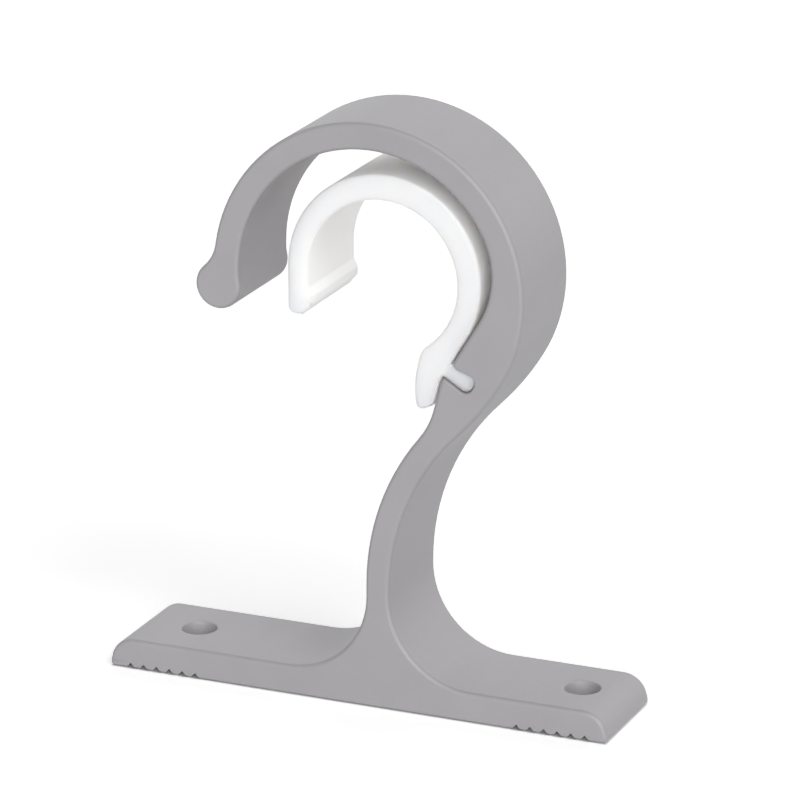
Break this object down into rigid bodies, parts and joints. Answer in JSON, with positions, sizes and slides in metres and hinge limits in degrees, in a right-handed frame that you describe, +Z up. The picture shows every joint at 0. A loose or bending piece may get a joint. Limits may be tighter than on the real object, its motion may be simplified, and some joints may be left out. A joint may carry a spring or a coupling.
{
  "type": "curtain rod bracket",
  "caption": "Hook-shaped curtain rod bracket on a screw-down foot with grooved ends, with a slide-in plastic liner that narrows its open seat for a thinner rod.",
  "frame": {"origin": "middle of the foot's underside, which is also the bottom centre of the whole part", "axes": "+Z up out of the foot towards the hook, +X along the foot from the hook's open side to its closed side, +Y along the rod, front face at -Y"},
  "size_m": [0.0572, 0.0126, 0.0638],
  "materials": {
    "bracket_metal": "matte grey, fine satin grain",
    "liner_plastic": "off-white moulded plastic, soft sheen"
  },
  "bodies": {
    "root": {"hook_bracket": "bracket_metal", "rod_liner": "liner_plastic"}
  },
  "joints": []
}
